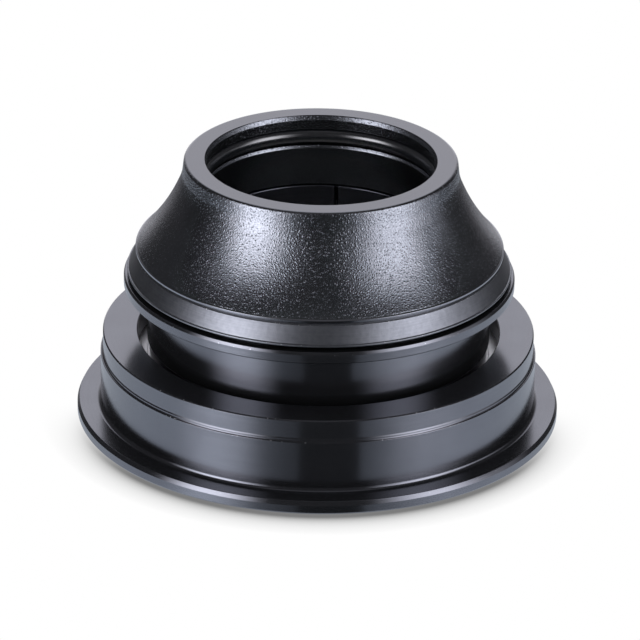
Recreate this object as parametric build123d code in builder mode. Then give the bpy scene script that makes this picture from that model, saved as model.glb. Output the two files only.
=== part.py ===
"""Tapered, semi-integrated bicycle headset, stacked as it stands on a bench.

A split compression ring, a bearing cover and a cone spacer turn with the steerer in the upper
bearing. The upper cup nests in the bore of the larger lower cup, which holds the lower bearing on
its crown race. The steering axis is +Z and the crown race stands on the XY plane. Millimetres.
"""

import os
from dataclasses import dataclass
from math import cos, radians, sin, sqrt

from build123d import *

os.makedirs("parts", exist_ok=True)

# Steerer tube, 28.6 across
steerer_d = 28.6
o_ring_squeeze = 0.08
bore_clearance = 0.2

# Ball bearings, both angular contact with 45 degree seats
race_gap = 0.05
high_shoulder = 0.28
low_shoulder = 0.82
seal_thickness = 0.4
seal_rebate = 0.6
seal_labyrinth = 0.5
seal_gap = 0.15
race_edge = 0.3
inner_sink = 0.25
cage_tilt = 25.0
cage_thickness = 0.5
cage_web = 0.35
cage_pocket_gap = 0.08

# Upper bearing, 41 by 30.15 by 6.5
upper_bore_gap = 0.775
upper_section = 5.425
upper_height = 6.5
upper_chamfer = 1.5
upper_ball_d = 2.778
upper_ball_count = 18

# Lower bearing, 52 by 40 by 7
lower_section = 6.0
lower_height = 7.0
lower_chamfer = 1.6
lower_ball_d = 3.175
lower_ball_count = 20

# Seats shared by both cups
pocket_clearance = 0.03
shelf_gap = 0.15
edge_break = 0.15

# Upper cup, 44 across the press skirt
upper_wall = 1.47
upper_rim_width = 3.0
upper_rim_height = 1.53
upper_rim_bevel_width = 0.17
upper_rim_bevel_height = 0.36
upper_pocket_chamfer = 0.3
upper_rim_sink = 0.2
upper_shelf_width = 2.9
upper_shelf_height = 2.45
upper_relief_depth = 1.8
upper_relief_width = 0.3
upper_lead_step = 0.3
upper_lead_length = 2.0

# Lower cup, 56 across the press land, with room for the upper cup in its bore
nest_gap = 1.22
lower_shelf_width = 2.78
lower_wall = 1.97
lower_shelf_height = 2.95
lower_flange_width = 3.0
lower_flange_height = 1.75
lower_flange_bevel_width = 0.27
lower_flange_bevel_height = 0.55
lower_foot_chamfer = 0.25
lower_root_round = 0.5
lower_pilot_step = 0.3
lower_pilot_length = 2.5
lower_pilot_ramp = 0.45
lower_land_step = 0.14
lower_land_step_height = 0.08
lower_mouth_width = 0.57
lower_mouth_depth = 1.4

# Crown race and its seal, on the fork crown
crown_fit = 0.1
crown_gap = 0.3
crown_base_height = 1.2
crown_bearing_gap = 0.3
crown_cone_short = 0.2
crown_seal_width = 1.9
crown_seal_setback = 0.4
crown_seal_ledge = 0.45
crown_seal_lip = 0.45
crown_edge = 0.6

# Split compression ring
ring_foot_short = 0.1
ring_shoulder_width = 1.2
ring_collar_wall = 1.3
ring_collar_height = 5.1
ring_slit = 0.3
ring_slit_bearing = 82.0

# Bearing cover and its wiper seal
cover_gap = 0.5
cover_hub_step = 0.2
cover_height = 2.7
cover_web = 1.1
cover_hub_wall = 1.5
cover_collar_gap = 0.1
cover_setback = 0.45
cover_skirt_wall = 1.65
cover_lip_height = 0.3
cover_lip_width = 0.2
cover_taper = 1.05
seam_height = 0.2
seam_depth = 0.2
wiper_width = 1.2
wiper_foot = 0.4
wiper_shoulder = 1.2
wiper_gap = 0.1

# Cone spacer and its O-ring
cone_height = 12.3
cone_strip = 0.35
cone_strip_round = 0.2
cone_collar_wall = 2.88
cone_collar_taper = 0.22
cone_edge_round = 0.33
cone_collar_height = 1.9
cone_throat_height = 2.2
cone_throat_spread = 0.72
cone_throat_sagitta = 0.08
cone_flare_sagitta = 0.39
cone_bore_chamfer = 0.27
cone_bore_chamfer_depth = 0.6
cone_recess_gap = 0.15
groove_depth_from_top = 1.85
groove_width = 2.3
groove_edge = 0.3
o_ring_section = 2.1
o_ring_room = 0.02


@dataclass
class Bearing:
    """Sizes of one bearing. Offsets run along the axis towards the outer race's contact chamfer."""

    bore_r: float
    section: float
    height: float
    chamfer: float
    ball_d: float
    ball_count: int
    bottom: float
    up: int

    @property
    def outer_r(self):
        return self.bore_r + self.section

    @property
    def pitch_r(self):
        return self.bore_r + self.section / 2

    @property
    def top(self):
        return self.bottom + self.height

    @property
    def half(self):
        return self.height / 2

    @property
    def ball_r(self):
        return self.ball_d / 2

    @property
    def groove_r(self):
        return self.ball_r + race_gap

    @property
    def high(self):
        return high_shoulder * self.ball_r

    @property
    def low(self):
        return low_shoulder * self.ball_r

    def at(self, radial, offset):
        """Point of the section, from the ball's centre."""
        return (self.pitch_r + radial, self.bottom + self.half + self.up * offset)

    def along(self, radial):
        """Offset at which the ball groove meets a shoulder."""
        return sqrt(self.groove_r**2 - radial**2)


def section(*points):
    """Closed section through radius and height points, beside the steering axis."""
    with BuildSketch(Plane.XZ) as outline:
        with BuildLine():
            Polyline(*points, close=True)
        make_face()
    return outline.sketch


def ring_edge(builder, radius, height):
    """The round edge of a turned part that lies nearest a radius and a height."""
    circles = builder.edges().filter_by(GeomType.CIRCLE)
    return circles.sort_by(lambda e: abs(e.radius - radius) + abs(e.arc_center.Z - height))[0]


def save(builder, name):
    """Labels a finished piece and writes its STEP file."""
    builder.part.label = name
    export_step(builder.part, f"parts/{name}.step")


def outer_race(b):
    """Outer race: ball groove, tall shoulder on the contact side and a rebate for each seal."""
    rim = b.outer_r - b.pitch_r
    with BuildPart() as race:
        with BuildSketch(Plane.XZ):
            with BuildLine():
                ThreePointArc(
                    b.at(b.low, -b.along(b.low)), b.at(b.groove_r, 0), b.at(b.high, b.along(b.high))
                )
                Polyline(
                    b.at(b.high, b.along(b.high)),
                    b.at(b.high, b.half - seal_thickness),
                    b.at(b.high + seal_rebate, b.half - seal_thickness),
                    b.at(b.high + seal_rebate, b.half),
                    b.at(rim - b.chamfer, b.half),
                    b.at(rim, b.half - b.chamfer),
                    b.at(rim, race_edge - b.half),
                    b.at(rim - race_edge, -b.half),
                    b.at(b.low + seal_rebate, -b.half),
                    b.at(b.low + seal_rebate, seal_thickness - b.half),
                    b.at(b.low, seal_thickness - b.half),
                    b.at(b.low, -b.along(b.low)),
                )
            make_face()
        revolve(axis=Axis.Z)
    return race


def inner_race(b):
    """Inner race: ball groove, tall shoulder and contact chamfer on the side away from the cup."""
    bore = b.bore_r - b.pitch_r
    clear = seal_thickness + seal_gap
    with BuildPart() as race:
        with BuildSketch(Plane.XZ):
            with BuildLine():
                ThreePointArc(
                    b.at(-b.high, -b.along(b.high)), b.at(-b.groove_r, 0), b.at(-b.low, b.along(b.low))
                )
                Polyline(
                    b.at(-b.low, b.along(b.low)),
                    b.at(-b.low, b.half - clear),
                    b.at(-b.low - seal_labyrinth, b.half - clear),
                    b.at(-b.low - seal_labyrinth, b.half - inner_sink),
                    b.at(bore + race_edge, b.half - inner_sink),
                    b.at(bore, b.half - inner_sink - race_edge),
                    b.at(bore, b.chamfer - b.half),
                    b.at(bore + b.chamfer, -b.half),
                    b.at(-b.high - seal_labyrinth, -b.half),
                    b.at(-b.high - seal_labyrinth, clear - b.half),
                    b.at(-b.high, clear - b.half),
                    b.at(-b.high, -b.along(b.high)),
                )
            make_face()
        revolve(axis=Axis.Z)
    return race


def seal(b, side):
    """Flat ring held in the outer race's rebate, on the contact side (1) or the far side (-1)."""
    shoulder = {1: (b.low, b.high), -1: (b.high, b.low)}[side]
    inside = seal_gap - seal_labyrinth - shoulder[0]
    outside = shoulder[1] + seal_rebate
    with BuildPart() as ring:
        revolve(
            section(
                b.at(inside, side * b.half),
                b.at(outside, side * b.half),
                b.at(outside, side * (b.half - seal_thickness)),
                b.at(inside, side * (b.half - seal_thickness)),
            ),
            axis=Axis.Z,
        )
    return ring


def balls(b):
    """One full row of balls on the pitch circle."""
    with BuildPart() as row:
        with Locations((0, 0, b.bottom + b.half)):
            with PolarLocations(b.pitch_r, b.ball_count):
                Sphere(b.ball_r)
    return row


def ball_cage(b):
    """Conical ring that leans across the contact line, with a round pocket for each ball."""
    reach = b.ball_r + cage_pocket_gap + cage_web
    lean = radians(cage_tilt)
    along_r, along_z = reach * sin(lean), reach * cos(lean)
    across_r, across_z = cage_thickness / 2 * cos(lean), cage_thickness / 2 * sin(lean)
    with BuildPart() as cage:
        revolve(
            section(
                b.at(along_r - across_r, -along_z - across_z),
                b.at(along_r + across_r, -along_z + across_z),
                b.at(-along_r + across_r, along_z + across_z),
                b.at(-along_r - across_r, along_z - across_z),
            ),
            axis=Axis.Z,
        )
        with Locations((0, 0, b.bottom + b.half)):
            with PolarLocations(b.pitch_r, b.ball_count):
                with Locations(Location((0, 0, 0), (0, 90 - b.up * cage_tilt, 0))):
                    Cylinder(b.ball_r + cage_pocket_gap, b.ball_d, mode=Mode.SUBTRACT)
    return cage


# Radii from the steerer outwards
steerer_r = steerer_d / 2
upper_bore_r = steerer_r + upper_bore_gap
upper_pocket_r = upper_bore_r + upper_section + pocket_clearance
upper_skirt_r = upper_pocket_r + upper_wall
upper_rim_r = upper_skirt_r + upper_rim_width
lower_cup_bore_r = upper_skirt_r + nest_gap
lower_bore_r = lower_cup_bore_r + lower_shelf_width - lower_section

# Heights from the fork crown upwards
lower = Bearing(
    lower_bore_r, lower_section, lower_height, lower_chamfer, lower_ball_d, lower_ball_count,
    bottom=crown_base_height + crown_bearing_gap, up=1,
)
lower_shelf_z = lower.top + shelf_gap
lower_top_z = lower_shelf_z + lower_shelf_height
upper_shelf_z = lower.top + upper_relief_depth + upper_shelf_height
upper = Bearing(
    upper_bore_r, upper_section, upper_height, upper_chamfer, upper_ball_d, upper_ball_count,
    bottom=upper_shelf_z + shelf_gap, up=-1,
)
rim_top_z = upper.top + upper_rim_sink
cover_z = rim_top_z + cover_gap
hub_z = cover_z + cover_hub_step
cone_z = cover_z + cover_height
cone_top_z = cone_z + cone_height
ring_top_z = hub_z + ring_collar_height

# Lower cup
pocket_r = lower.outer_r + pocket_clearance
press_r = pocket_r + lower_wall
flange_r = press_r + lower_flange_width
pilot_r = press_r - lower_pilot_step
mouth_r = pocket_r + lower_mouth_width
flange_z = crown_gap + lower_flange_height
land_z = lower_top_z - lower_pilot_length - lower_pilot_ramp
mouth_z = crown_gap + lower_mouth_depth
lower_seat = lower.outer_r - lower.chamfer + lower.top

with BuildPart() as lower_cup:
    revolve(
        section(
            (mouth_r, crown_gap),
            (flange_r, crown_gap),
            (flange_r, flange_z - lower_flange_bevel_height),
            (flange_r - lower_flange_bevel_width, flange_z),
            (press_r, flange_z),
            (press_r, land_z),
            (press_r - lower_land_step, land_z + lower_land_step_height),
            (pilot_r, land_z + lower_pilot_ramp),
            (pilot_r, lower_top_z),
            (lower_cup_bore_r, lower_top_z),
            (lower_cup_bore_r, lower_shelf_z),
            (lower_seat - lower_shelf_z, lower_shelf_z),
            (pocket_r, lower_seat - pocket_r),
            (pocket_r, mouth_z + lower_mouth_width),
            (mouth_r, mouth_z),
        ),
        axis=Axis.Z,
    )
    chamfer(ring_edge(lower_cup, flange_r, crown_gap), lower_foot_chamfer)
    fillet(ring_edge(lower_cup, press_r, flange_z), lower_root_round)
    chamfer(ring_edge(lower_cup, pilot_r, lower_top_z), edge_break)
    chamfer(ring_edge(lower_cup, lower_cup_bore_r, lower_top_z), edge_break)
save(lower_cup, "lower_cup")

# Upper cup, standing on the lower bearing's shield
skirt_r = upper_skirt_r
lead_r = skirt_r - upper_lead_step
shelf_bore_r = upper_pocket_r - upper_shelf_width
relief_r = upper_pocket_r - upper_relief_width
rim_z = rim_top_z - upper_rim_height
upper_seat = upper.outer_r - upper.chamfer - upper.bottom

with BuildPart() as upper_cup:
    revolve(
        section(
            (relief_r, lower.top),
            (lead_r, lower.top),
            (lead_r, lower.top + upper_lead_length),
            (skirt_r, lower.top + upper_lead_length + upper_lead_step),
            (skirt_r, rim_z),
            (upper_rim_r, rim_z),
            (upper_rim_r, rim_top_z - upper_rim_bevel_height),
            (upper_rim_r - upper_rim_bevel_width, rim_top_z),
            (upper_pocket_r, rim_top_z),
            (upper_pocket_r, upper_pocket_r - upper_seat),
            (upper_seat + upper_shelf_z, upper_shelf_z),
            (shelf_bore_r, upper_shelf_z),
            (shelf_bore_r, lower.top + upper_relief_depth),
            (relief_r, lower.top + upper_relief_depth),
        ),
        axis=Axis.Z,
    )
    chamfer(ring_edge(upper_cup, upper_rim_r, rim_z), edge_break)
    chamfer(ring_edge(upper_cup, upper_pocket_r, rim_top_z), upper_pocket_chamfer)
    chamfer(ring_edge(upper_cup, lead_r, lower.top), edge_break)
    fillet(ring_edge(upper_cup, skirt_r, rim_z), edge_break)
save(upper_cup, "upper_cup")

# Bearings
for place, bearing, faces in (
    ("lower", lower, {"lower_top_shield": 1, "lower_bottom_seal": -1}),
    ("upper", upper, {"upper_bottom_seal": 1, "upper_top_seal": -1}),
):
    save(outer_race(bearing), f"{place}_outer_race")
    save(inner_race(bearing), f"{place}_inner_race")
    save(balls(bearing), f"{place}_balls")
    save(ball_cage(bearing), f"{place}_ball_cage")
    for name, side in faces.items():
        save(seal(bearing, side), name)

# Crown race, with a 45 degree cone in the lower inner race
crown_r = lower.bore_r - crown_fit
crown_seal_r = mouth_r - crown_seal_setback
crown_seat_r = crown_seal_r - crown_seal_width
crown_seat = lower.bore_r + lower.chamfer + lower.bottom
crown_tip_z = lower.bottom + lower.chamfer - crown_cone_short

with BuildPart() as crown_race:
    revolve(
        section(
            (crown_r, 0),
            (crown_seat_r + crown_edge, 0),
            (crown_seat_r + crown_edge, crown_seal_ledge),
            (crown_seat_r, crown_seal_ledge),
            (crown_seat_r, crown_base_height),
            (crown_seat - crown_base_height, crown_base_height),
            (crown_seat - crown_tip_z, crown_tip_z),
            (crown_r, crown_tip_z),
        ),
        axis=Axis.Z,
    )
    chamfer(ring_edge(crown_race, crown_r, 0), race_edge)
    chamfer(ring_edge(crown_race, crown_seat_r + crown_edge, 0), edge_break)
save(crown_race, "crown_race")

with BuildPart() as crown_seal:
    revolve(
        section(
            (crown_seat_r, crown_seal_ledge),
            (crown_seal_r - crown_seal_lip, crown_seal_ledge),
            (crown_seal_r, crown_seal_ledge + crown_seal_lip),
            (crown_seal_r, crown_base_height),
            (crown_seat_r, crown_base_height),
        ),
        axis=Axis.Z,
    )
save(crown_seal, "crown_seal")

# Compression ring, wedged between the steerer and the upper inner race
ring_seat = upper.bore_r + upper.chamfer - upper.top
foot_z = upper.top - upper.chamfer + ring_foot_short
collar_r = steerer_r + ring_collar_wall
shoulder_r = collar_r + ring_shoulder_width

with BuildPart() as compression_ring:
    revolve(
        section(
            (steerer_r, foot_z),
            (ring_seat + foot_z, foot_z),
            (shoulder_r, shoulder_r - ring_seat),
            (shoulder_r, hub_z),
            (collar_r, hub_z),
            (collar_r, ring_top_z),
            (steerer_r, ring_top_z),
        ),
        axis=Axis.Z,
    )
    chamfer(ring_edge(compression_ring, steerer_r, ring_top_z), edge_break)
    chamfer(ring_edge(compression_ring, collar_r, ring_top_z), race_edge)
    with BuildSketch(Plane.XY.offset(foot_z).rotated((0, 0, ring_slit_bearing))):
        with Locations((shoulder_r / 2, 0)):
            Rectangle(shoulder_r + ring_collar_wall, ring_slit)
    extrude(amount=ring_top_z - foot_z, mode=Mode.SUBTRACT)
save(compression_ring, "compression_ring")

# Bearing cover: a turned cap that sits on the compression ring's shoulder
lip_r = upper_rim_r - cover_setback
band_r = lip_r - cover_lip_width
cone_r = lip_r - cover_taper
hub_r = collar_r + cover_collar_gap
web_z = cone_z - cover_web
cavity_r = lip_r - cover_skirt_wall

with BuildPart() as bearing_cover:
    revolve(
        section(
            (hub_r, hub_z),
            (hub_r + cover_hub_wall, hub_z),
            (hub_r + cover_hub_wall, web_z),
            (cavity_r, web_z),
            (cavity_r, cover_z),
            (lip_r, cover_z),
            (lip_r, cover_z + cover_lip_height),
            (band_r, cover_z + cover_lip_height),
            (cone_r, cone_z - seam_height),
            (cone_r - seam_depth, cone_z),
            (hub_r, cone_z),
        ),
        axis=Axis.Z,
    )
    fillet(ring_edge(bearing_cover, lip_r, cover_z + cover_lip_height), edge_break / 2)
save(bearing_cover, "bearing_cover")

wiper_z = rim_top_z + wiper_gap
with BuildPart() as cover_wiper_seal:
    revolve(
        section(
            (cavity_r - wiper_width, web_z),
            (cavity_r, web_z),
            (cavity_r, web_z - wiper_shoulder),
            (cavity_r - wiper_foot, wiper_z),
            (cavity_r - 2 * wiper_foot, wiper_z),
            (cavity_r - wiper_width, web_z - wiper_shoulder),
        ),
        axis=Axis.Z,
    )
save(cover_wiper_seal, "cover_wiper_seal")

# Cone spacer: short collar, throat and hollow flare down to a plain strip
bore_r = steerer_r + bore_clearance
collar_top_r = bore_r + cone_collar_wall
throat_r = collar_top_r + cone_collar_taper
flare_r = throat_r + cone_throat_spread
throat_z = cone_top_z - cone_collar_height
flare_z = throat_z - cone_throat_height
strip_z = cone_z + seam_height + cone_strip
groove_top_z = cone_top_z - groove_depth_from_top
groove_z = groove_top_z - groove_width
o_ring_r = steerer_r - o_ring_squeeze + o_ring_section / 2
groove_r = o_ring_r + o_ring_section / 2 + o_ring_room
recess_r = collar_r + cone_recess_gap
recess_z = ring_top_z + cone_recess_gap

with BuildPart() as cone_spacer:
    with BuildSketch(Plane.XZ):
        with BuildLine():
            Line((collar_top_r, cone_top_z), (throat_r, throat_z))
            SagittaArc((throat_r, throat_z), (flare_r, flare_z), -cone_throat_sagitta)
            SagittaArc((flare_r, flare_z), (cone_r - cone_strip_round, strip_z), -cone_flare_sagitta)
            Polyline(
                (cone_r - cone_strip_round, strip_z),
                (cone_r, strip_z - cone_strip_round),
                (cone_r, cone_z + seam_height),
                (cone_r - seam_depth, cone_z),
                (recess_r, cone_z),
                (recess_r, recess_z),
                (bore_r, recess_z),
                (bore_r, groove_z - groove_edge),
                (bore_r + groove_edge, groove_z),
                (groove_r, groove_z),
                (groove_r, groove_top_z),
                (bore_r, groove_top_z),
                (bore_r, cone_top_z - cone_bore_chamfer_depth),
                (bore_r + cone_bore_chamfer, cone_top_z),
                (collar_top_r, cone_top_z),
            )
        make_face()
    revolve(axis=Axis.Z)
    fillet(ring_edge(cone_spacer, collar_top_r, cone_top_z), cone_edge_round)
save(cone_spacer, "cone_spacer")

with BuildPart() as cone_o_ring:
    with BuildSketch(Plane.XZ):
        with Locations((o_ring_r, (groove_z + groove_top_z) / 2)):
            Circle(o_ring_section / 2)
    revolve(axis=Axis.Z)
save(cone_o_ring, "cone_o_ring")
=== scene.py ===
"""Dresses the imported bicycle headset: turned surfaces, finishes, studio and camera.

Sizes are written in millimetres and degrees; meshes are in metres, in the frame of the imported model.
The steering axis is +Z, the table is the XY plane and the camera looks from -Y.
"""

import logging
import math
from dataclasses import dataclass, field
from enum import Enum
from typing import Any, Sequence

import bpy
import numpy as np
from mathutils import Matrix, Vector


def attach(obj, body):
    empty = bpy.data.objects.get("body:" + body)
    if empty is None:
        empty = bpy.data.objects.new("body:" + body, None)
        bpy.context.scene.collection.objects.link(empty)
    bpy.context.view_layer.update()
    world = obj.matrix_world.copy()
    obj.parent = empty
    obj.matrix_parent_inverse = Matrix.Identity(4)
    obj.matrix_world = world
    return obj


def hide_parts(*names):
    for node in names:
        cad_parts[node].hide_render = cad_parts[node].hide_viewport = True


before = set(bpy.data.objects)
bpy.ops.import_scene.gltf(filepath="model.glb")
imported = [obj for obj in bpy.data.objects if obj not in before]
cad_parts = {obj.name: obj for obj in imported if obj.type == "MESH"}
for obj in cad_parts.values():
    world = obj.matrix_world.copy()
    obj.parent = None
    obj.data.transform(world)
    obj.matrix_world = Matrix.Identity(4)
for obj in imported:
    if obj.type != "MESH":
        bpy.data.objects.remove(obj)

LOG = logging.getLogger("headset")
MM = 0.001
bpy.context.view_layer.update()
PICTURE_SIDE = 640
SENSOR_WIDTH = 36.0
TINY_LENGTH = 1e-9
TINY_ANGLE = 1e-6

Colour = tuple[float, float, float]
Span = tuple[float, float]

WHITE: Colour = (1.0, 1.0, 1.0)


class Body(Enum):
    """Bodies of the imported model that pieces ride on."""

    CUPS = "cups"
    UPPER_TURNING = "upper_turning"
    LOWER_TURNING = "lower_turning"


class Slot(Enum):
    """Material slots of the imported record."""

    TEXTURED_BLACK = "textured_black"
    SATIN_BLACK = "satin_black"
    RING_ALLOY = "ring_alloy"
    BEARING_STEEL = "bearing_steel"
    BALL_STEEL = "ball_steel"
    RACE_STEEL = "race_steel"
    CAGE_NYLON = "cage_nylon"
    BLACK_RUBBER = "black_rubber"


# Sections and turned surfaces


def arc(start: Sequence[float], end: Sequence[float], sagitta: float, count: int) -> np.ndarray:
    """Points on a circular arc that stands off its chord by a sagitta.

    With half chord c and sagitta s the radius is (c*c + s*s) / 2s. The points lie at even angles
    about the centre, which is on the chord's normal.

    Args:
        start: Radius and height where the arc starts.
        end: Radius and height where it ends.
        sagitta: Stand-off at mid chord, positive to the left of the way from start to end.
        count: Number of points, both ends included.

    Returns:
        Array of count rows of radius, height and a zero edge round.
    """
    a, b = np.asarray(start, float), np.asarray(end, float)
    half = np.linalg.norm(b - a) / 2
    along = (b - a) / (2 * half)
    across = np.array([-along[1], along[0]]) * np.sign(sagitta)
    depth = abs(sagitta)
    radius = (half**2 + depth**2) / (2 * depth)
    centre = (a + b) / 2 - across * (radius - depth)
    turn = np.linspace(-1, 1, count)[:, None] * math.asin(half / radius)
    points = centre + radius * (np.cos(turn) * across + np.sin(turn) * along)
    return np.column_stack([points, np.zeros(count)])


def rounded(
    corners: Sequence[Sequence[float]], steps: int = 7, guard: float = 0.03, long_run: float = 0.18
) -> np.ndarray:
    """Closed section with rounded corners, run counter-clockwise.

    A corner of half angle h and round q is cut back by q / tan(h) along both runs, and its arc has
    its centre q / sin(h) along the bisector. Long runs get a point close to each end, which keeps
    smooth shading on the rounds.

    Args:
        corners: Rows of radius, height and edge round, in order around the section.
        steps: Points on each rounded corner.
        guard: Distance of the extra points from a run's ends.
        long_run: Length from which a run gets them.

    Returns:
        Array of rows of radius and height.
    """
    rows = np.asarray(corners, float)
    here, cut = rows[:, :2], rows[:, 2]
    shoelace = here[:, 0] * np.roll(here[:, 1], -1) - here[:, 1] * np.roll(here[:, 0], -1)
    if shoelace.sum() < 0:
        here, cut = here[::-1], cut[::-1]
    back = np.roll(here, 1, axis=0) - here
    ahead = np.roll(here, -1, axis=0) - here
    back /= np.linalg.norm(back, axis=1, keepdims=True)
    ahead /= np.linalg.norm(ahead, axis=1, keepdims=True)
    half = np.arccos(np.clip((back * ahead).sum(1), -1, 1)) / 2
    bisector = back + ahead
    bisector /= np.maximum(np.linalg.norm(bisector, axis=1, keepdims=True), TINY_LENGTH)
    centre = here + bisector * (cut / np.sin(half))[:, None]
    first = here + back * (cut / np.tan(half))[:, None] - centre
    last = here + ahead * (cut / np.tan(half))[:, None] - centre
    sweep = np.maximum(math.pi - 2 * half, TINY_ANGLE)[:, None, None]
    share = np.linspace(0, 1, steps)[None, :, None]
    swung = np.sin((1 - share) * sweep) * first[:, None] + np.sin(share * sweep) * last[:, None]
    points = np.where((cut > 0)[:, None, None], centre[:, None] + swung / np.sin(sweep), here[:, None])
    keep = (cut > 0)[:, None] | (np.arange(steps) == 0)[None, :]
    line = points[keep]
    run = np.roll(line, -1, axis=0) - line
    length = np.linalg.norm(run, axis=1)
    long = np.flatnonzero(length > long_run)
    step = run[long] / length[long, None] * guard
    extra = np.stack([line[long] + step, line[long] + run[long] - step], axis=1).reshape(-1, 2)
    return np.insert(line, np.repeat(long + 1, 2), extra, axis=0)


def mesh_object(name: str, vertices: np.ndarray, faces: list[list[int]]) -> bpy.types.Object:
    """Puts arrays into a smooth-shaded mesh object at the origin.

    Args:
        name: Name of the piece.
        vertices: Rows of x, y and z in metres.
        faces: Vertex numbers of each face, turning left when seen from outside.

    Returns:
        The new object, linked to the scene.
    """
    mesh = bpy.data.meshes.new(name)
    mesh.from_pydata(vertices.tolist(), [], faces)
    mesh.shade_smooth()
    mesh.update()
    piece = bpy.data.objects.new(name, mesh)
    bpy.context.scene.collection.objects.link(piece)
    return piece


def lathe(angle: np.ndarray, section: np.ndarray, closed: bool) -> tuple[np.ndarray, list[list[int]]]:
    """Surface (r cos t, r sin t, z) over the angles t and the points of a closed section.

    Args:
        angle: One row for each ring of points, with one angle or an angle for each section point.
        section: Rows of radius and height, counter-clockwise.
        closed: Whether the last ring joins the first.

    Returns:
        Rows of x, y and z in metres, and the vertex numbers of each face.
    """
    radius, height = (section * MM).T
    rings, rows = len(angle), len(section)
    upright = np.broadcast_to(height, (rings, rows))
    grid = np.stack([np.cos(angle) * radius, np.sin(angle) * radius, upright], axis=-1)
    ring, point = np.indices((rings if closed else rings - 1, rows))
    ring_next, point_next = (ring + 1) % rings, (point + 1) % rows
    corners = ((ring, point), (ring_next, point), (ring_next, point_next), (ring, point_next))
    quads = np.stack([a * rows + b for a, b in corners], axis=-1)
    return grid.reshape(-1, 3), quads.reshape(-1, 4).tolist()


def turn(name: str, section: np.ndarray, segments: int = 224) -> bpy.types.Object:
    """Ring turned from a closed section.

    Args:
        name: Name of the piece.
        section: Rows of radius and height, counter-clockwise.
        segments: Faces around the axis.

    Returns:
        The piece, closed around the axis and around its section.
    """
    angle = np.linspace(0, 2 * math.pi, segments, endpoint=False)[:, None]
    return mesh_object(name, *lathe(angle, section, True))


def split_turn(
    name: str, section: np.ndarray, slit: float, bearing: float, segments: int = 224
) -> bpy.types.Object:
    """Ring turned from a closed section with a parallel slit.

    At radius r the slit takes asin(slit / 2r) on each side of its bearing, and the angle runs
    evenly over the rest. The section itself closes both ends.

    Args:
        name: Name of the piece.
        section: Rows of radius and height, counter-clockwise.
        slit: Width of the slit.
        bearing: Direction of the slit from +X.
        segments: Faces around the axis.

    Returns:
        The piece, closed at the slit.
    """
    half = np.arcsin(slit / 2 / section[:, 0])
    share = np.linspace(0, 1, segments + 1)[:, None]
    angle = math.radians(bearing) + half + share * (2 * math.pi - 2 * half)
    points, faces = lathe(angle, section, False)
    first = np.arange(len(section))
    ends = [first.tolist(), (segments * len(section) + first[::-1]).tolist()]
    return mesh_object(name, points, faces + ends)


# Shader maths


class Wire:
    """A value socket that takes part in Python arithmetic by adding Math nodes."""

    def __init__(self, graph: "Graph", socket: bpy.types.NodeSocket) -> None:
        """Keeps the socket and the graph that it is in."""
        self.graph = graph
        self.socket = socket

    def math(self, operation: str, *values: Any) -> "Wire":
        """Adds one Math node.

        Args:
            operation: Blender's name of the operation.
            values: Wires or numbers, in the node's order.

        Returns:
            The node's result.
        """
        node = self.graph.node("ShaderNodeMath", {"operation": operation}, dict(enumerate(values)))
        return Wire(self.graph, node.outputs[0])

    def __add__(self, other: Any) -> "Wire":
        """Sum."""
        return self.math("ADD", self, other)

    def __sub__(self, other: Any) -> "Wire":
        """Difference."""
        return self.math("SUBTRACT", self, other)

    def __rsub__(self, other: Any) -> "Wire":
        """Difference from a number."""
        return self.math("SUBTRACT", other, self)

    def __mul__(self, other: Any) -> "Wire":
        """Product."""
        return self.math("MULTIPLY", self, other)

    def __truediv__(self, other: Any) -> "Wire":
        """Quotient."""
        return self.math("DIVIDE", self, other)

    def __pow__(self, other: Any) -> "Wire":
        """Power."""
        return self.math("POWER", self, other)

    __radd__ = __add__
    __rmul__ = __mul__

    def step(self, low: float, high: float) -> "Wire":
        """Smooth step from 0 at low to 1 at high."""
        node = self.graph.node(
            "ShaderNodeMapRange",
            {"interpolation_type": "SMOOTHSTEP"},
            {"Value": self, "From Min": low, "From Max": high},
        )
        return Wire(self.graph, node.outputs[0])

    def window(self, low: float, high: float, soft: float) -> "Wire":
        """1 between low and high, with a smooth edge of a given width centred on each."""
        rise = self.step(low - soft / 2, low + soft / 2)
        return rise * (1 - self.step(high - soft / 2, high + soft / 2))


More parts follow.
